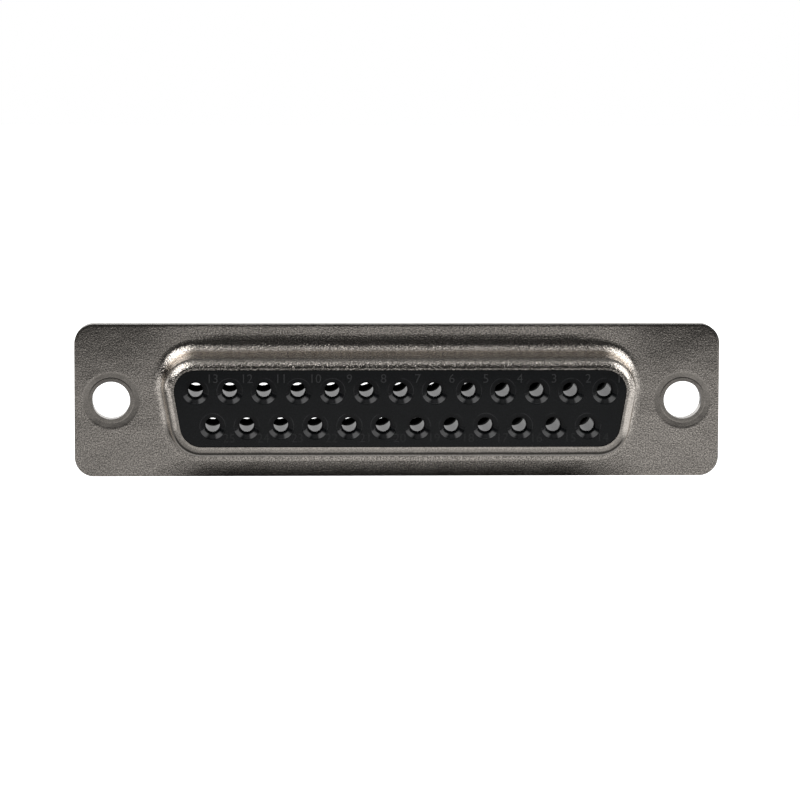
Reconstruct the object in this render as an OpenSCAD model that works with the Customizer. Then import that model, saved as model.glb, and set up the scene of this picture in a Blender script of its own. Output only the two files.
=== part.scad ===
// Two-row D-shaped socket housing for loose crimp contacts, shown without contacts.
// The flange's front face is the plane y = 0, the mating side looks along -Y,
// and the longer contact row is the upper one.

/* [Contacts] */
// Number of contacts in the longer row
long_row = 13; // [5:1:19]
// Distance between neighbouring contacts in a row
pitch = 2.76; // [2.6:0.02:3.2]
// Distance between the two rows
row_gap = 2.84; // [2.7:0.02:3.4]
// Bore that the mating pin enters
entry_d = 1.16; // [1.04:0.02:1.4]
// Length of that bore
entry_len = 0.2; // [0.1:0.05:0.6]
// Diameter of the rounded funnel in front of it, on the mating face
funnel_d = 1.95; // [1.6:0.05:2.4]
// Depth of that funnel
funnel_len = 1.2; // [0.4:0.1:2]
// Bore of the chamber that holds a socket contact
chamber_d = 1.95; // [1.7:0.05:2.3]
// Bore of the wider pocket behind it, where a contact's tines spring out
pocket_d = 2.4; // [2:0.05:2.5]
// Bore of the collar that the tines catch on
collar_d = 1.76; // [1.6:0.02:1.9]
// Length of that collar
collar_len = 0.4; // [0.3:0.1:1.2]
// Diameter of the lead-in at the rear of each cavity
lead_in_d = 2.3; // [2:0.05:2.5]
// Depth of that lead-in
lead_in_len = 0.7; // [0.3:0.1:1.2]

/* [Shroud] */
// From the last contact of the longer row to the shroud's outer end
shroud_end = 2.6; // [2.4:0.01:3.6]
// From a contact row to the shroud's outer face
shroud_edge = 2.56; // [2.4:0.01:3.4]
// Outer corner radius of the D
shroud_r = 2.59; // [2.2:0.01:3.4]
// Slant of the two ends of the D
side_angle = 10; // [0:1:20]
// Height of the shroud in front of the flange
shroud_len = 6.1; // [4.5:0.1:9]
// Bend radius where the shroud leaves the flange
root_r = 1.05; // [0.7:0.05:1.6]
// Inner bend radius of the shroud's turned-in front edge
lip_bend = 0.35; // [0.1:0.05:0.6]
// How far that edge reaches in from the shroud's outer face
lip_w = 0.85; // [0.75:0.05:1.2]
// How far the insulator's face lies behind the front edge
face_recess = 0.1; // [0:0.05:0.6]

/* [Flange] */
// Sheet thickness of both shells
sheet_t = 0.65; // [0.4:0.05:0.7]
// From the shroud's outer end to the mounting hole
hole_offset = 4.36; // [4:0.01:6]
// From the mounting hole to the flange's end
ear = 3; // [2.6:0.1:6]
// Flange above and below the shroud
flange_edge = 2.3; // [2.1:0.025:5]
// Corner radius of the flange
flange_r = 1.6; // [0.6:0.1:3]
// Bore of a mounting hole
hole_d = 3.1; // [2.6:0.05:3.4]
// Wall of the eyelet that lines a mounting hole
eyelet_t = 0.2; // [0.15:0.05:0.3]
// Outer diameter of the coined dish round a mounting hole
dish_d = 4.7; // [4.3:0.1:5]
// Depth of that dish
dish_depth = 0.02; // [0.02:0.02:0.2]

/* [Rear] */
// How far the rear box stands outside the shroud's outline
box_margin = 1.4; // [1.2:0.05:1.5]
// Depth of the rear box behind the flange's front face
box_len = 6.9; // [4.5:0.1:9]
// Bend radius where the rear box leaves its flange
box_root_r = 0.4; // [0.2:0.05:0.5]
// Inner bend radius of the rear box's turned-in edge
box_lip_bend = 0.15; // [0.05:0.05:0.3]
// Flat of that edge beyond its bend
box_lip_flat = 0.8; // [0.4:0.1:1]
// Length of the rear insulator inside the box, from that edge to the front insulator
rim_len = 3.8; // [1.6:0.1:4.8]
// How far the rear insulator stands out of the rear box
rear_proud = 0.4; // [0:0.1:1.5]

/* [Fit] */
// Clearance between a piece and the piece that it sits in
fit = 0.04; // [0.02:0.01:0.08]

/* [Hidden] */
$fn = 64;

nickel = [0.65, 0.61, 0.56];
black = [0.10, 0.10, 0.11];

// How far a cutter runs past the surface that it cuts
past = 0.5;
// Straight stretches lie this much inside the round corners that they run into, and the funnels' rounding
// stays this much clear of the bore and the face
seam = 0.003;
// How far a straight stretch runs into a corner
overlap = 0.05;

// Flat strip of a drawn wall that lies within the flange
land_w = 0.2;

// Outer sizes that follow from the contact field
shroud_w = (long_row - 1) * pitch + 2 * shroud_end;
shroud_h = row_gap + 2 * shroud_edge;
hole_spacing = shroud_w + 2 * hole_offset;
flange_w = hole_spacing + 2 * ear;
flange_h = shroud_h + 2 * flange_edge;

// Outer bend radii of the turned-in edges, and how far the rear one reaches in from its wall's outer face
lip_r = lip_bend + sheet_t;
box_lip_r = box_lip_bend + sheet_t;
box_lip_w = box_lip_r + box_lip_flat;

// Places along the mating direction, measured forward from the flange's front face
face_z = shroud_len - face_recess;
funnel_z = face_z - funnel_len;
chamber_z = funnel_z - entry_len;
boss_z = shroud_len - edge_height(lip_r, lip_w) - fit;
seam_z = -sheet_t;
back_z = -2 * sheet_t;
box_z = -box_len;
box_lip_z = box_z + sheet_t;
parting_z = box_lip_z + rim_len;
rear_z = box_z - rear_proud;
lead_in_z = rear_z + lead_in_len;
collar_z = lead_in_z + collar_len;

// Distances from the D's corner centres, which every D-shaped outline shares
root_edge_r = shroud_r + root_r;
land_r = root_edge_r + land_w;
opening_r = root_edge_r + land_w / 2;
boss_r = shroud_r - sheet_t - fit;
nose_r = shroud_r - lip_w - fit;
box_r = shroud_r + box_margin;
insert_r = box_r - sheet_t - fit;
rim_r = box_r - box_lip_r - fit;
box_root_edge_r = box_r + box_root_r;
box_land_r = box_root_edge_r + land_w;
box_opening_r = box_root_edge_r + land_w / 2;
tail_r = box_r - box_lip_w - fit;

// Radii of the pin's way in
entry_r = entry_d / 2;
funnel_r = funnel_d / 2;
chamber_r = chamber_d / 2;

// Mounting hole radii
hole_r = hole_d / 2;
eyelet_r = hole_r + eyelet_t;
socket_r = eyelet_r + fit;
dish_r = dish_d / 2;
eyelet_flare = 0.15;

// Height of a turned-in edge above the start of its bend, to a micron, also where it ends before it is flat
function edge_height(edge_r, edge_w) =
    edge_w < edge_r ? round(1000 * sqrt(edge_w * (2 * edge_r - edge_w))) / 1000 : edge_r;

// A corner is [centre, start angle, angle turned through], taken anticlockwise
function dee_corners() =
    let (
        x = shroud_w / 2 - shroud_r,
        y = shroud_h / 2 - shroud_r,
        taper = 2 * y * tan(side_angle)
    ) [
        [[x, y], -side_angle, 90 + side_angle],
        [[-x, y], 90, 90 + side_angle],
        [[taper - x, -y], 180 + side_angle, 90 - side_angle],
        [[x - taper, -y], 270, 90 - side_angle]
    ];

function flange_corners() =
    let (
        x = flange_w / 2 - flange_r,
        y = flange_h / 2 - flange_r
    ) [
        [[x, y], 0, 90],
        [[-x, y], 90, 90],
        [[-x, -y], 180, 90],
        [[x, -y], 270, 90]
    ];

dee = dee_corners();
flange = flange_corners();

// Contact places: the shorter row sits half a pitch in from the longer one
contacts = [
    for (row = [0, 1])
        for (i = [0 : long_row - 1 - row])
            [(i - (long_row - 1 - row) / 2) * pitch, (1 / 2 - row) * row_gap]
];

// Turns a piece drawn face up so that its face looks along -Y
module face_forward() {
    rotate([90, 0, 0]) children();
}

// Outline at a distance r from the corner centres
module outline(corners, r) {
    polygon([
        for (corner = corners)
            for (angle = [corner[1], corner[1] + corner[2]])
                corner[0] + (r - seam) * [cos(angle), sin(angle)]
    ]);
    for (corner = corners)
        translate(corner[0]) circle(r);
}

// Slab between two heights with that outline
module slab(corners, r, bottom, top) {
    translate([0, 0, bottom]) linear_extrude(top - bottom) outline(corners, r);
}

// Quarter of a ring between two radii, cut out by a square with its corner at the given place
module bend(inner_r, outer_r, place) {
    intersection() {
        difference() {
            circle(outer_r);
            circle(inner_r);
        }
        translate(place) square(outer_r + past);
    }
}

// Section of a drawn wall, thinned by inset on both faces: flat land, root bend, wall, turned-in edge.
// Section x is the distance from the corner centres, and the flange's face is y = 0.
module wall_section(outer_r, land, root, height, edge_r, edge_w, inset) {
    root_x = outer_r + root;
    root_reach = root + sheet_t - inset;
    edge_z = height - edge_height(edge_r, edge_w);
    t = sheet_t - 2 * inset;
    translate([root_x, inset - sheet_t]) square([land - root_x, t]);
    translate([root_x, root]) bend(root + inset, root_reach, [-root_reach - past, -root_reach - past]);
    translate([outer_r - sheet_t + inset, root]) square([t, edge_z - root]);
    translate([outer_r - edge_r, edge_z])
        bend(edge_r - sheet_t + inset, edge_r - inset, [max(0, edge_r - edge_w + inset), 0]);
    if (edge_w > edge_r)
        translate([outer_r - edge_w + inset, height - sheet_t + inset]) square([edge_w - edge_r - inset, t]);
}

// Drawn wall carried round the D: turned at the corners and straight between them
module drawn_wall(outer_r, land, root, height, edge_r, edge_w) {
    for (i = [0 : 3]) {
        corner = dee[i];
        run = norm(dee[(i + 1) % 4][0] - corner[0]) + 2 * overlap;
        translate(corner[0]) {
            rotate(corner[1]) rotate_extrude(angle = corner[2])
                wall_section(outer_r, land, root, height, edge_r, edge_w, 0);
            rotate(corner[1] + corner[2]) translate([0, run - overlap, 0]) rotate([90, 0, 0])
                linear_extrude(run) wall_section(outer_r, land, root, height, edge_r, edge_w, seam);
        }
    }
}

// Flange sheet between two heights, open inside the given D
module flange_sheet(bottom, top, inner_r) {
    difference() {
        slab(flange, flange_r, bottom, top);
        slab(dee, inner_r, bottom - past, top + past);
    }
}

module at_holes() {
    for (side = [-1, 1])
        translate([side * hole_spacing / 2, 0, 0]) children();
}

module at_contacts() {
    for (place = contacts)
        translate(place) children();
}

// Hole in the front shell, with the dish that the eyelet is swaged into
module eyelet_seat() {
    rotate_extrude() polygon([
        [0, seam_z - past],
        [socket_r, seam_z - past],
        [socket_r, -dish_depth],
        [dish_r, 0],
        [dish_r, past],
        [0, past]
    ]);
}

// Collar drawn up from the rear shell, its end swaged over into the dish
module eyelet() {
    slope = dish_depth / (dish_r - socket_r);
    rotate_extrude() polygon([
        [hole_r, back_z],
        [eyelet_r, back_z],
        [eyelet_r, -dish_depth],
        [eyelet_r + eyelet_flare, -dish_depth + eyelet_flare * slope],
        [eyelet_r + eyelet_flare / 2, 0],
        [hole_r, 0]
    ]);
}

module front_shell() {
    color(nickel) face_forward() difference() {
        union() {
            flange_sheet(seam_z, 0, opening_r);
            drawn_wall(shroud_r, land_r, root_r, shroud_len, lip_r, lip_w);
        }
        at_holes() eyelet_seat();
    }
}

module rear_shell() {
    color(nickel) face_forward() union() {
        difference() {
            union() {
                flange_sheet(back_z, seam_z, box_opening_r);
                translate([0, 0, back_z]) mirror([0, 0, 1])
                    drawn_wall(box_r, box_land_r, box_root_r, box_len + back_z, box_lip_r, box_lip_w);
            }
            at_holes() translate([0, 0, back_z - past])
                cylinder(h = sheet_t + 2 * past, r = hole_r + eyelet_t / 2);
        }
        at_holes() eyelet();
    }
}

module front_insulator() {
    color(black) face_forward() difference() {
        union() {
            slab(dee, insert_r, parting_z, seam_z);
            slab(dee, boss_r, parting_z, boss_z);
            slab(dee, nose_r, parting_z, face_z);
        }
        at_contacts() socket_cavity();
    }
}

// Rounded funnel, the bore that the pin enters and the chamber behind it
module socket_cavity() {
    rotate_extrude() difference() {
        polygon([
            [0, face_z + past],
            [funnel_r, face_z + past],
            [funnel_r, funnel_z],
            [entry_r, funnel_z],
            [entry_r, chamber_z],
            [chamber_r, chamber_z],
            [chamber_r, parting_z - past],
            [0, parting_z - past]
        ]);
        intersection() {
            translate([funnel_r, funnel_z]) rounding(funnel_r - entry_r - seam, funnel_len - seam);
            translate([0, funnel_z]) square([funnel_d, funnel_len + past]);
        }
    }
}

// Flattened disc that leaves the funnel's rounded wall, its outline starting at the lower left
module rounding(across, along) {
    scale([1, along / across]) rotate(225) circle(across);
}

module rear_insulator() {
    color(black) face_forward() difference() {
        union() {
            slab(dee, rim_r, box_lip_z, parting_z);
            slab(dee, tail_r, rear_z, parting_z);
        }
        at_contacts() collar_bore();
    }
}

// Pocket behind the chamber, its collar and the lead-in that a contact is pushed in through
module collar_bore() {
    rotate_extrude() polygon([
        [0, parting_z + past],
        [pocket_d / 2, parting_z + past],
        [pocket_d / 2, collar_z],
        [collar_d / 2, collar_z],
        [collar_d / 2, lead_in_z],
        [lead_in_d / 2, rear_z],
        [lead_in_d / 2, rear_z - past],
        [0, rear_z - past]
    ]);
}

front_shell();
rear_shell();
front_insulator();
rear_insulator();
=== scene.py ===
import math

import bmesh
import bpy
from mathutils import Matrix, Vector


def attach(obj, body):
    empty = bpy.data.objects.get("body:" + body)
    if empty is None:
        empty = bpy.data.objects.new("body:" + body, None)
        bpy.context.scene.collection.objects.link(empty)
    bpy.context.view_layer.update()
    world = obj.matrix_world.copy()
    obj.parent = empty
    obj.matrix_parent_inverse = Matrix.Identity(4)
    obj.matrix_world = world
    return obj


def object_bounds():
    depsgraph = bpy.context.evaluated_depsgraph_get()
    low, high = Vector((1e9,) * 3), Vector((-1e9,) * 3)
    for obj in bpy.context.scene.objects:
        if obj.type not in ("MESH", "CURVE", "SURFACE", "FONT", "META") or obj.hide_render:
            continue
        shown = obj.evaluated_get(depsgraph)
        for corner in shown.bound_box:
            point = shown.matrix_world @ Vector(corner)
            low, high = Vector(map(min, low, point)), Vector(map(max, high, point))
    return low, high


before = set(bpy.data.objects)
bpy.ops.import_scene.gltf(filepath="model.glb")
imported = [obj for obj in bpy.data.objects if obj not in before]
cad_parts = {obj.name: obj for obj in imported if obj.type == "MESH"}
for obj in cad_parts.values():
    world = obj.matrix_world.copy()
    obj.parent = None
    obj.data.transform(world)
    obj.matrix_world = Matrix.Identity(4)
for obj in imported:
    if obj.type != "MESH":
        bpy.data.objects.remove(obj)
cad_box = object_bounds()

MM = 0.001

# Contact field and its cavities, as in the part's source
LONG_ROW = 13
PITCH = 2.76 * MM
ROW_GAP = 2.84 * MM
FACE_Y = -6.0 * MM
FUNNEL_LEN = 1.2 * MM
THROAT_LEN = 0.2 * MM
THROAT_R = 0.58 * MM
POCKET_Y = 2.45 * MM

# Flange outline and mounting holes, as in the part's source
FLANGE_HALF_X = cad_box[1][0]
FLANGE_HALF_Z = cad_box[1][2]
FLANGE_R = 1.6 * MM
HOLE_X = 23.52 * MM
DISH_R = 2.35 * MM

# Camera, at the photograph's viewing angle
CAMERA_TARGET = Vector((0.070, -3.0, 0.355)) * MM
CAMERA_AZIMUTH = math.radians(-2.4)
CAMERA_ELEVATION = math.radians(6.45)
CAMERA_ROLL = math.radians(0.193)
CAMERA_DISTANCE = 329.21 * MM
CAMERA_LENS = 181.75
CAMERA_CLIP = 10 * MM

# Floor, its own light to the camera, and its tone
FLOOR_Z = -45 * MM
FLOOR_HALF = 1.5
FLOOR_GLOW = 0.85
FLOOR_TONE = (0.8, 0.8, 0.8, 1)

# Lamp that fills in from the front and isn't mirrored
FILL_PLACE = Vector((0, -0.6, 0.25))
FILL_SIZE = (0.5, 0.4)
FILL_RADIANCE = 5.0

WHITE = (1, 1, 1, 1)
FALLING = (1.0, 0.0)

# Brightness of the floor as metal mirrors it. Each pair is a span in metres and the values at its ends
FRONT_FAR = (-0.6, -0.16), (0.27, 0.44)
FRONT_NEAR = (-0.12, -0.02), (1.0, 0.7)
# The foot and behind spans darken the floor right below the part: a painted shadow of the part, seen only
# in the metal
FRONT_FOOT = (-0.022, -0.004), (1.0, 0.17)
FRONT_LEFT = (-0.04, 0.0), (0.78, 1.15)
FRONT_RIGHT = (0.03, 0.06), (1.0, 0.83)
LEFT_SIDE = (-0.2, -0.05), (0.8, 0.0)
LEFT_REAR = (-0.1, 0.06), (1.0, 0.15)
RIGHT_SIDE = (0.05, 0.15), (0.0, 0.85)
SIDES_FRONT = (-0.3, -0.15), (0.1, 1.0)
BEHIND = (0.006, 0.03), (0.0, 0.32)
BEHIND_ASIDE = (0.05, 0.15), (1.0, 0.35)

# Brightness of the room as metal mirrors it. Each span is along one axis of a direction of length 1
ROOM = (-0.03, 0.12), (0.13, 0.027)
BACKDROP = (-0.05, 0.15), (0.0, 1.0)
BACKDROP_TOP = (0.17, 0.32), (1.0, 0.14)
HORIZON = (0.0, 0.12), FALLING
LEFT_HORIZON = (-0.98, -0.1), (1.2, 0.0)
RIGHT_HORIZON = (0.1, 0.95), (0.0, 1.2)

# Round soft lights, one overhead and two high at each side:
# direction, brightness, and the angles in degrees where it is still full and where it ends
SOFT_LIGHTS = (
    ((0.0, -0.09, 0.996), 0.4, 8, 29),
    ((-0.6, 0.0, 0.8), 2.4, 10, 26),
    ((0.7, 0.0, 0.71), 2.6, 10, 26),
    ((-0.58, -0.33, 0.745), 3.0, 11, 24),
    ((0.78, -0.31, 0.54), 2.2, 13, 26),
)

# Bow of the flange's ears and lower strip: where it starts, its curvature in 1/m, its span aside
EAR_BOW_Z = 1.0 * MM
EAR_BOW = 19.0
EAR_X = (17 * MM, 22 * MM)
STRIP_BOW_Z = -4.7 * MM
STRIP_BOW = 93.0
STRIP_X = (14 * MM, 21 * MM)

# Rolled strip along the flange's sheared edge: its width, curvature in 1/m, and the heights it sets in
ROLL_W = 0.28 * MM
ROLL = 750.0
ROLL_Z = (-5 * MM, 0.0)

# Soft start of the bend above the shroud: its span up and aside, its front end, and its lift
ROOT_Z = (4.6 * MM, 5.5 * MM)
ROOT_X = (14 * MM, 17.5 * MM)
ROOT_Y = -1.0 * MM
ROOT_LIFT = 0.08 * MM

# Rim of the shroud's front edge that lies nearly flat, and how flat
RIM_Y = (-6.08 * MM, -6.02 * MM)
RIM_FLAT = 0.85

# Coined dish round each mounting hole: where it ends, its grain and tone against the sheet's
DISH_FADE = (DISH_R - 0.15 * MM, DISH_R + 0.1 * MM)
DISH_GRAIN = 0.3
DISH_TONE = 0.75

# Noise of the plated sheet: cells per metre and detail. Its rise is in metres
CLOUD = (260, 3.0)
PEEL = (6500, 2.0)
GRAIN = (11000, 1.0)
SPECKLE = (9000, 1.0)
CLOUD_RISE = 9e-5
PEEL_RISE = 1.3e-5
GRAIN_RISE = 1.4e-5
PEEL_STRETCH = (0.85, 1.0, 1.0)
SPECKLE_SWING = 0.42
NOISE_SPAN = (0.3, 0.7)

# Drawn metal in front of the flange: its grain below and on top of the shroud, and its roughness
DRAWN_Y = (-0.2 * MM, -0.02 * MM)
STRETCH_Z = (0.0, 3.5 * MM)
STRETCH = (0.4, 1.9)
DRAWN_ROUGH = 0.6

# Painted shade on the flange's lower strip below the shroud: its span aside and up, its front end, and its
# tone at the bottom
STRIP_SHADE_X = (13 * MM, 20 * MM)
STRIP_SHADE_Z = (-6.5 * MM, -4.4 * MM)
STRIP_SHADE_Y = 0.03 * MM
STRIP_SHADE_TONE = 0.2

# Plating and sheared edge: colours, roughness, and the edge's width
PLATE_DARK = (0.62, 0.575, 0.525, 1)
PLATE_LIGHT = (0.69, 0.64, 0.585, 1)
PLATE_ROUGH = (0.14, 0.24)
SHEARED_W = (0.01 * MM, 0.06 * MM)
SHEARED_TONE = (0.62, 0.585, 0.54, 1)
SHEARED_ROUGH = 0.26

# Bevel of the shells' edges
BEVEL = 0.05 * MM
BEVEL_SEGMENTS = 3
BEVEL_ANGLE = math.radians(50)

# Lit sides of the funnels: their reach, the wall's lean at throat and mouth, their depth and fades.
# The last span is of the sine of the place round the funnel, below its axis
MOUTH_R = 1.1 * MM
FUNNEL_LEAN = (math.radians(46), math.radians(36))
LIT_DEPTH = 0.7 * MM
THROAT_FADE = (THROAT_R + 0.03 * MM, THROAT_R + 0.1 * MM)
MOUTH_FADE = (MOUTH_R - 0.05 * MM, MOUTH_R + 0.02 * MM)
MOUTH_END = MOUTH_R + 0.03 * MM
LIT_SIDE = (-0.5, 0.05)

# Painted highlight as a thin light edge round each funnel's mouth: radius, half width, depth, added tone,
# and where noise shows it
EDGE_R = 1.03 * MM
EDGE_HALF = 0.06 * MM
EDGE_DEPTH = 0.1 * MM
MOUTH_HIGHLIGHT_TONE = 0.011
EDGE_PATCHES = (0.42, 0.6)

# Plastic: dark and light tone of the moulding, and of the upper and lower numbers, which are the moulding's
# plastic lightened as a painted highlight, the upper row more than the lower
BLACK = (0.002, 0.0023, 0.0026, 1), (0.004, 0.0045, 0.005, 1)
UPPER_DIGIT_HIGHLIGHT = (0.015, 0.0155, 0.016, 1), (0.022, 0.0225, 0.023, 1)
LOWER_DIGIT_HIGHLIGHT = (0.008, 0.0084, 0.0088, 1), (0.0115, 0.012, 0.0125, 1)

# Noise of the plastic: cells per metre, detail and roughness. Its rise is in metres
MOTTLE = (500, 3.0)
MOULD_TEXTURE = (7000, 2.0, 0.6)
TEXTURE_RISE = 3e-6

# Sheen of the plastic: at the face and in the chambers, rough in the pockets, less at the face's top
FUNNEL_END_Y = FACE_Y + FUNNEL_LEN
THROAT_Y = (FUNNEL_END_Y, FUNNEL_END_Y + THROAT_LEN)
FRONT_ROUGH = (0.16, 0.13)
FRONT_IOR = (1.42, 1.065)
POCKET_FADE = (POCKET_Y - 0.05 * MM, POCKET_Y + 0.05 * MM)
POCKET_ROUGH = 0.5
SHEEN_LOSS = 0.1
SHEEN_Y = (FUNNEL_END_Y - 0.1 * MM, FUNNEL_END_Y)
SHEEN_Z = (0.5 * MM, 2.8 * MM)

# Moulded position numbers: size, rise, steps of a curve, place beside a contact, and two set further in
NUMBER_SIZE = 1.03 * MM
NUMBER_RISE = 0.03 * MM
NUMBER_STEPS = 4
UPPER_NUMBER = (1.37 * MM, 0.98 * MM)
LOWER_NUMBER = (1.32 * MM, -1.0 * MM)
NUMBER_NUDGE = {1: -0.25 * MM, 14: -0.12 * MM}


class Tree:
    """Short ways to add and join shader nodes."""

    def __init__(self, owner):
        owner.use_nodes = True
        self.nodes = owner.node_tree.nodes
        self.links = owner.node_tree.links
        self.nodes.clear()

    def add(self, kind, inputs=None, **settings):
        node = self.nodes.new(kind)
        for name, value in settings.items():
            setattr(node, name, value)
        for name, value in (inputs or {}).items():
            if isinstance(value, bpy.types.NodeSocket):
                self.links.new(value, node.inputs[name])
            else:
                node.inputs[name].default_value = value
        return node

    def axes(self, place):
        return self.add("ShaderNodeSeparateXYZ", {"Vector": place}).outputs

    def math(self, operation, first, *others):
        """One operation on a value, or on a row of values from left to right."""
        for other in others or (0.0,):
            first = self.add("ShaderNodeMath", {0: first, 1: other}, operation=operation).outputs[0]
        return first

    def vector(self, operation, inputs):
        return self.add("ShaderNodeVectorMath", inputs, operation=operation).outputs["Vector"]

    def ramp(self, value, span, ends=(0.0, 1.0), kind="SMOOTHSTEP"):
        """Change from one end's value to the other's while the value goes through the span."""
        inputs = {
            "Value": value,
            "From Min": span[0],
            "From Max": span[1],
            "To Min": ends[0],
            "To Max": ends[1],
        }
        return self.add("ShaderNodeMapRange", inputs, interpolation_type=kind).outputs["Result"]

    def mix(self, kind, factor, a, b):
        inputs = {"Factor": factor, "A": a, "B": b}
        return self.add("ShaderNodeMix", inputs, data_type=kind).outputs["Result"]

    def noise(self, place, scale, detail, roughness=0.5):
        inputs = {"Vector": place, "Scale": scale, "Detail": detail, "Roughness": roughness}
        return self.add("ShaderNodeTexNoise", inputs).outputs["Fac"]

    def bump(self, height, rise, normal):
        inputs = {"Height": height, "Distance": rise, "Strength": 1.0, "Normal": normal}
        return self.add("ShaderNodeBump", inputs).outputs["Normal"]

    def true_normal(self):
        return self.add("ShaderNodeNewGeometry").outputs["Normal"]

    def length(self, a, b):
        """Length of the vector with two given sides."""
        return self.math("SQRT", self.math("ADD", self.math("POWER", a, 2.0), self.math("POWER", b, 2.0)))


def start_material(name):
    """New material, its nodes, and the place on the part in metres."""
    material = bpy.data.materials.new(name)
    tree = Tree(material)
    return material, tree, tree.add("ShaderNodeTexCoord").outputs["Object"]


def principled(tree, inputs):
    shader = tree.add("ShaderNodeBsdfPrincipled", inputs)
    tree.add("ShaderNodeOutputMaterial", {"Surface": shader.outputs["BSDF"]})


def seen_directly(tree, path):
    """1 for what the camera sees, also through something clear."""
    return tree.math("MAXIMUM", path.outputs["Is Camera Ray"], path.outputs["Is Transmission Ray"])


def flange_depth(tree, aside, above):
    """How far a place lies inside the flange's rounded outline, in metres."""
    over_x = tree.math("MAXIMUM", tree.math("SUBTRACT", aside, FLANGE_HALF_X - FLANGE_R), 0.0)
    over_z = tree.math("MAXIMUM", tree.math("SUBTRACT", above, FLANGE_HALF_Z - FLANGE_R), 0.0)
    return tree.math("SUBTRACT", FLANGE_R, tree.length(over_x, over_z))


def bow_height(tree, aside, z):
    """Slight bow of the flange, in metres: its upper ears lean back, its lower strip turns forward."""
    above = tree.math("MAXIMUM", tree.math("SUBTRACT", z, EAR_BOW_Z), 0.0)
    below = tree.math("MAXIMUM", tree.math("SUBTRACT", STRIP_BOW_Z, z), 0.0)
    ears = tree.math("MULTIPLY", above, above, -EAR_BOW / 2, tree.ramp(aside, EAR_X))
    strip = tree.math("MULTIPLY", below, below, STRIP_BOW / 2, tree.ramp(aside, STRIP_X, FALLING))
    return tree.math("ADD", ears, strip)


def roll_height(tree, inside, z):
    """Roll of the flange back towards its sheared edge, in metres."""
    over = tree.math("MAXIMUM", tree.math("SUBTRACT", ROLL_W, inside), 0.0)
    return tree.math("MULTIPLY", over, over, tree.ramp(z, ROLL_Z), -ROLL / 2)


def root_height(tree, aside, y, z):
    """Soft start of the bend above the shroud, in metres."""
    lift = tree.ramp(aside, ROOT_X, (ROOT_LIFT, 0.0))
    return tree.math("MULTIPLY", tree.ramp(z, ROOT_Z, FALLING), lift, tree.math("GREATER_THAN", y, ROOT_Y))


def rim_normal(tree, y):
    """The surface's normal, turned forward on the rim of the shroud's front edge."""
    forward = (0, -1, 0)
    turned = tree.mix("VECTOR", tree.ramp(y, RIM_Y, (RIM_FLAT, 0.0)), tree.true_normal(), forward)
    return tree.vector("NORMALIZE", {0: turned})


def nickel_material():
    """Satin nickel plate on drawn sheet steel."""
    material, tree, place = start_material("satin_nickel")
    x, y, z = tree.axes(place)
    aside = tree.math("ABSOLUTE", x)
    above = tree.math("ABSOLUTE", z)
    inside = flange_depth(tree, aside, above)
    cloud = tree.noise(place, *CLOUD)
    peel = tree.noise(tree.vector("MULTIPLY", {0: place, 1: PEEL_STRETCH}), *PEEL)
    grain = tree.noise(place, *GRAIN)

    # The dish round each mounting hole is smoother than the sheet
    off = tree.length(tree.math("SUBTRACT", aside, HOLE_X), above)
    sheet = tree.ramp(off, DISH_FADE, (DISH_GRAIN, 1.0))
    # Stretched metal is coarser than the flat sheet on top of the shroud, and smoother lower down
    drawn = tree.ramp(y, DRAWN_Y, FALLING)
    change = tree.ramp(z, STRETCH_Z, (STRETCH[0] - 1, STRETCH[1] - 1))
    coarse = tree.math("MULTIPLY", sheet, tree.math("ADD", tree.math("MULTIPLY", drawn, change), 1.0))

    # Large shape first, then finer and finer grain
    bow = bow_height(tree, aside, z)
    roll = roll_height(tree, inside, z)
    root = root_height(tree, aside, y, z)
    normal = tree.bump(tree.math("ADD", bow, roll, root), 1.0, rim_normal(tree, y))
    normal = tree.bump(cloud, CLOUD_RISE, normal)
    normal = tree.bump(tree.math("MULTIPLY", peel, coarse), PEEL_RISE, normal)
    normal = tree.bump(tree.math("MULTIPLY", grain, coarse), GRAIN_RISE, normal)

    # The plating is speckled and darker in the dishes, and its lower strip is darkened by painted shade
    swing = tree.ramp(tree.noise(place, *SPECKLE), NOISE_SPAN, (-SPECKLE_SWING, SPECKLE_SWING))
    speckle = tree.math("ADD", tree.math("MULTIPLY", swing, tree.math("MINIMUM", coarse, 1.0)), 1.0)
    dull = tree.math(
        "MULTIPLY",
        tree.ramp(aside, STRIP_SHADE_X, FALLING),
        tree.math("LESS_THAN", y, STRIP_SHADE_Y),
        tree.ramp(z, STRIP_SHADE_Z, (1 - STRIP_SHADE_TONE, 0.0)),
    )
    dished = tree.ramp(sheet, (DISH_GRAIN, 1.0), (DISH_TONE, 1.0))
    tone = tree.math("MULTIPLY", speckle, tree.math("SUBTRACT", 1.0, dull), dished)
    plate = tree.mix("RGBA", cloud, PLATE_DARK, PLATE_LIGHT)
    speckled = tree.vector("SCALE", {0: plate, "Scale": tone})

    # Sheared edges of the flange are duller than its faces
    sheared = tree.ramp(inside, SHEARED_W, FALLING)
    satin = tree.ramp(peel, NOISE_SPAN, PLATE_ROUGH)
    satin = tree.math("MULTIPLY", satin, tree.ramp(drawn, (0.0, 1.0), (1.0, DRAWN_ROUGH)))
    principled(tree, {
        "Base Color": tree.mix("RGBA", sheared, speckled, SHEARED_TONE),
        "Metallic": 1.0,
        "Roughness": tree.math("MAXIMUM", satin, tree.math("MULTIPLY", sheared, SHEARED_ROUGH)),
        "Normal": normal,
    })
    return material


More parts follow.
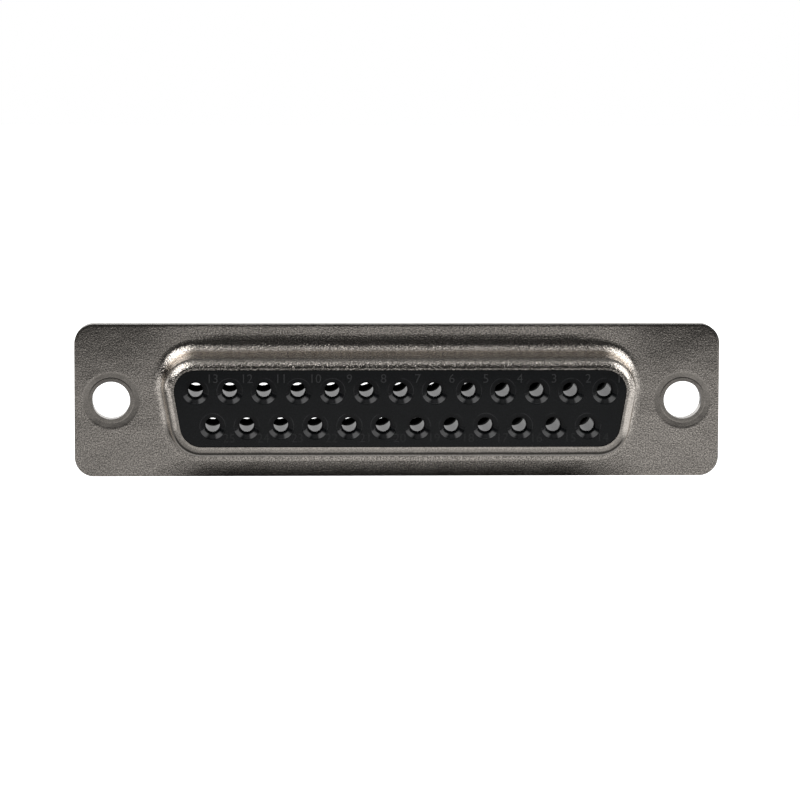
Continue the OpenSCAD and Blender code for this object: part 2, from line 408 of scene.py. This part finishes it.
def nearest_funnel(tree, x, z):
    """Place across and up from the nearest funnel's axis, distance from it, and 1 if one is there."""
    lower = tree.math("LESS_THAN", z, 0.0)
    half_step = tree.math("MULTIPLY", lower, PITCH / 2)
    wrap = {0: tree.math("ADD", x, half_step), 1: PITCH / 2, 2: -PITCH / 2}
    across = tree.add("ShaderNodeMath", wrap, operation="WRAP").outputs[0]
    drop = tree.math("SUBTRACT", tree.math("MULTIPLY", lower, ROW_GAP), ROW_GAP / 2)
    up = tree.math("ADD", z, drop)
    row_end = tree.math("SUBTRACT", LONG_ROW * PITCH / 2, half_step)
    there = tree.math("LESS_THAN", tree.math("ABSOLUTE", x), row_end)
    return across, up, tree.length(across, up), there


def funnel_normal(tree, y, funnel):
    """Normal of a funnel's wall where it is lit, below its axis, and else the surface's own."""
    across, up, r, there = funnel
    lean = tree.math(
        "MULTIPLY",
        tree.ramp(r, (THROAT_R, MOUTH_R), FUNNEL_LEAN, "LINEAR"),
        tree.ramp(r, MOUTH_FADE, FALLING),
        tree.ramp(tree.math("DIVIDE", up, r), LIT_SIDE, FALLING),
    )
    inward = tree.math("DIVIDE", tree.math("MULTIPLY", tree.math("SINE", lean), -1.0), r)
    sides = {
        "X": tree.math("MULTIPLY", across, inward),
        "Y": tree.math("MULTIPLY", tree.math("COSINE", lean), -1.0),
        "Z": tree.math("MULTIPLY", up, inward),
    }
    wall = tree.add("ShaderNodeCombineXYZ", sides).outputs["Vector"]
    near = tree.math(
        "MULTIPLY",
        tree.ramp(r, THROAT_FADE),
        tree.math("LESS_THAN", y, FACE_Y + LIT_DEPTH),
        tree.math("LESS_THAN", r, MOUTH_END),
        there,
    )
    return tree.vector("NORMALIZE", {0: tree.mix("VECTOR", near, tree.true_normal(), wall)})


def plastic_material(name, dark, light):
    """Moulded plastic: face and funnels satin, chambers smooth, the pockets behind them dull."""
    material, tree, place = start_material(name)
    x, y, z = tree.axes(place)
    funnel = nearest_funnel(tree, x, z)
    mottle = tree.noise(place, *MOTTLE)
    texture = tree.noise(place, *MOULD_TEXTURE)

    pocket = tree.ramp(y, POCKET_FADE, (0.0, POCKET_ROUGH))
    rough = tree.math("MAXIMUM", tree.ramp(y, THROAT_Y, FRONT_ROUGH), pocket)
    # The face has less sheen towards its top
    loss = tree.math("MULTIPLY", tree.ramp(y, SHEEN_Y, (SHEEN_LOSS, 0.0)), tree.ramp(z, SHEEN_Z))
    ior = tree.math("SUBTRACT", tree.ramp(y, THROAT_Y, FRONT_IOR), loss)
    # A painted highlight runs as a thin lighter edge round each funnel's mouth, in patches
    r, there = funnel[2:]
    off = tree.math("ABSOLUTE", tree.math("SUBTRACT", r, EDGE_R))
    edge = tree.math(
        "MULTIPLY",
        tree.ramp(off, (0.0, EDGE_HALF), (MOUTH_HIGHLIGHT_TONE, 0.0)),
        there,
        tree.ramp(mottle, EDGE_PATCHES),
        tree.math("LESS_THAN", y, FACE_Y + EDGE_DEPTH),
    )
    principled(tree, {
        "Base Color": tree.vector("ADD", {0: tree.mix("RGBA", mottle, dark, light), 1: edge}),
        "Roughness": rough,
        "IOR": ior,
        "Normal": tree.bump(texture, TEXTURE_RISE, funnel_normal(tree, y, funnel)),
    })
    return material


def floor_material():
    """Pale floor, white to the camera. Metal mirrors it bright in front and dark right below the part,
    where a painted shadow of the part lies.
    """
    material, tree, place = start_material("pale_floor")
    x, y, _ = tree.axes(place)
    path = tree.add("ShaderNodeLightPath")

    front = tree.math(
        "MULTIPLY",
        tree.ramp(y, *FRONT_FAR),
        tree.ramp(y, *FRONT_NEAR),
        tree.ramp(y, *FRONT_FOOT),
        tree.ramp(x, *FRONT_LEFT),
        tree.ramp(x, *FRONT_RIGHT),
    )
    left = tree.math("MULTIPLY", tree.ramp(x, *LEFT_SIDE), tree.ramp(y, *LEFT_REAR))
    sides = tree.math("MAXIMUM", left, tree.ramp(x, *RIGHT_SIDE))
    sides = tree.math("MULTIPLY", sides, tree.ramp(y, *SIDES_FRONT))
    aside = tree.math("ABSOLUTE", x)
    behind = tree.math("MULTIPLY", tree.ramp(y, *BEHIND), tree.ramp(aside, *BEHIND_ASIDE))
    mirrored = tree.math("MAXIMUM", front, sides, behind)
    mirror = tree.add("ShaderNodeEmission", {"Color": WHITE, "Strength": mirrored})

    # To the camera the floor's own light is added to its shading, so that it keeps the part's shadow
    diffuse = tree.add("ShaderNodeBsdfDiffuse", {"Color": FLOOR_TONE})
    glow = tree.math("MULTIPLY", seen_directly(tree, path), FLOOR_GLOW)
    white = tree.add("ShaderNodeEmission", {"Color": WHITE, "Strength": glow})
    shown = tree.add("ShaderNodeAddShader", {0: diffuse.outputs[0], 1: white.outputs[0]})
    choice = {"Fac": path.outputs["Is Glossy Ray"], 1: shown.outputs[0], 2: mirror.outputs[0]}
    mix = tree.add("ShaderNodeMixShader", choice)
    tree.add("ShaderNodeOutputMaterial", {"Surface": mix.outputs[0]})
    return material


def make_world():
    """White to the camera and low behind the part, lit at its sides and overhead, dark in front."""
    world = bpy.data.worlds.new("studio")
    bpy.context.scene.world = world
    tree = Tree(world)
    place = tree.add("ShaderNodeTexCoord").outputs["Generated"]
    x, y, z = tree.axes(place)
    path = tree.add("ShaderNodeLightPath")

    low = tree.ramp(z, *HORIZON)
    light = tree.math(
        "MAXIMUM",
        seen_directly(tree, path),
        tree.ramp(z, *ROOM),
        tree.math("MULTIPLY", tree.ramp(y, *BACKDROP), tree.ramp(z, *BACKDROP_TOP)),
        tree.math("MULTIPLY", tree.ramp(x, *RIGHT_HORIZON), low),
        tree.math("MULTIPLY", tree.ramp(x, *LEFT_HORIZON), low),
    )
    for direction, brightness, core, rim in SOFT_LIGHTS:
        both = {0: place, 1: Vector(direction).normalized()}
        facing = tree.add("ShaderNodeVectorMath", both, operation="DOT_PRODUCT").outputs["Value"]
        span = (math.cos(math.radians(rim)), math.cos(math.radians(core)))
        light = tree.math("MAXIMUM", light, tree.ramp(facing, span, (0.0, brightness)))
    background = tree.add("ShaderNodeBackground", {"Color": WHITE, "Strength": light})
    tree.add("ShaderNodeOutputWorld", {"Surface": background.outputs[0]})


def make_fill():
    """Soft box in front that looks at the part. Metal doesn't mirror it."""
    lamp = bpy.data.lights.new("front_fill", "AREA")
    lamp.shape = "RECTANGLE"
    lamp.size, lamp.size_y = FILL_SIZE
    lamp.energy = FILL_RADIANCE * math.pi * lamp.size * lamp.size_y
    box = bpy.data.objects.new("front_fill", lamp)
    bpy.context.collection.objects.link(box)
    box.location = FILL_PLACE
    box.rotation_euler = (-FILL_PLACE).to_track_quat("-Z", "Y").to_euler()
    box.visible_camera = False
    box.visible_glossy = False


def make_camera():
    camera = bpy.data.cameras.new("camera")
    camera.lens = CAMERA_LENS
    camera.clip_start = CAMERA_CLIP
    holder = bpy.data.objects.new("camera", camera)
    bpy.context.collection.objects.link(holder)
    away = Vector((
        math.sin(CAMERA_AZIMUTH) * math.cos(CAMERA_ELEVATION),
        -math.cos(CAMERA_AZIMUTH) * math.cos(CAMERA_ELEVATION),
        math.sin(CAMERA_ELEVATION),
    ))
    turn = (-away).to_track_quat("-Z", "Y").to_matrix().to_4x4()
    roll = Matrix.Rotation(CAMERA_ROLL, 4, "Z")
    holder.matrix_world = Matrix.Translation(CAMERA_TARGET + away * CAMERA_DISTANCE) @ turn @ roll
    bpy.context.scene.camera = holder


def make_floor():
    mesh = bpy.data.meshes.new("floor")
    h = FLOOR_HALF
    mesh.from_pydata([(-h, -h, 0), (h, -h, 0), (h, h, 0), (-h, h, 0)], [], [(0, 1, 2, 3)])
    mesh.materials.append(floor_material())
    floor = bpy.data.objects.new("floor", mesh)
    floor.location.z = FLOOR_Z
    bpy.context.collection.objects.link(floor)


def contact_places():
    """Position number, x and z of each contact, the longer row on top and numbered from the right."""
    last = 0
    for row in (0, 1):
        count = LONG_ROW - row
        last += count
        for i in range(count):
            yield last - i, (i - (count - 1) / 2) * PITCH, (0.5 - row) * ROW_GAP


def number_mesh(number, place):
    """Mesh of one number that stands on the face at the given place."""
    curve = bpy.data.curves.new("digits", "FONT")
    curve.body = str(number)
    curve.size = NUMBER_SIZE
    curve.align_x = "CENTER"
    curve.align_y = "CENTER"
    curve.extrude = NUMBER_RISE
    curve.resolution_u = NUMBER_STEPS
    holder = bpy.data.objects.new("digits", curve)
    bpy.context.collection.objects.link(holder)
    shown = holder.evaluated_get(bpy.context.evaluated_depsgraph_get())
    digits = bpy.data.meshes.new_from_object(shown)
    digits.transform(Matrix.Translation(place) @ Matrix.Rotation(math.pi / 2, 4, "X"))
    bpy.data.objects.remove(holder)
    bpy.data.curves.remove(curve)
    return digits


def position_numbers(upper, lower):
    """Raised number beside each pin entry."""
    shape = bmesh.new()
    for number, x, z in contact_places():
        on_top = z > 0
        aside, above = UPPER_NUMBER if on_top else LOWER_NUMBER
        place = Vector((x + aside + NUMBER_NUDGE.get(number, 0), FACE_Y, z + above))
        digits = number_mesh(number, place)
        for face in digits.polygons:
            face.material_index = 0 if on_top else 1
        shape.from_mesh(digits)
        bpy.data.meshes.remove(digits)
    mesh = bpy.data.meshes.new("position_numbers")
    shape.to_mesh(mesh)
    shape.free()
    mesh.materials.append(upper)
    mesh.materials.append(lower)
    piece = bpy.data.objects.new("position_numbers", mesh)
    bpy.context.collection.objects.link(piece)
    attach(piece, "root")


def dress(node, material):
    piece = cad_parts[node]
    piece.data.materials.clear()
    piece.data.materials.append(material)


def round_edges(node):
    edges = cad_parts[node].modifiers.new("rounded_edges", "BEVEL")
    edges.width = BEVEL
    edges.segments = BEVEL_SEGMENTS
    edges.limit_method = "ANGLE"
    edges.angle_limit = BEVEL_ANGLE
    edges.harden_normals = True


make_camera()
make_floor()
make_world()
make_fill()

nickel = nickel_material()
for node in ("front_shell", "rear_shell"):
    dress(node, nickel)
    round_edges(node)

plastic = plastic_material("black_plastic", *BLACK)
for node in ("front_insulator", "rear_insulator"):
    dress(node, plastic)
# The numbers' lighter tones are painted highlight, stronger on the upper row than on the lower
position_numbers(plastic_material("upper_digits_painted_highlight", *UPPER_DIGIT_HIGHLIGHT), plastic_material("lower_digits_painted_highlight", *LOWER_DIGIT_HIGHLIGHT))

bpy.context.scene.view_settings.view_transform = "Standard"
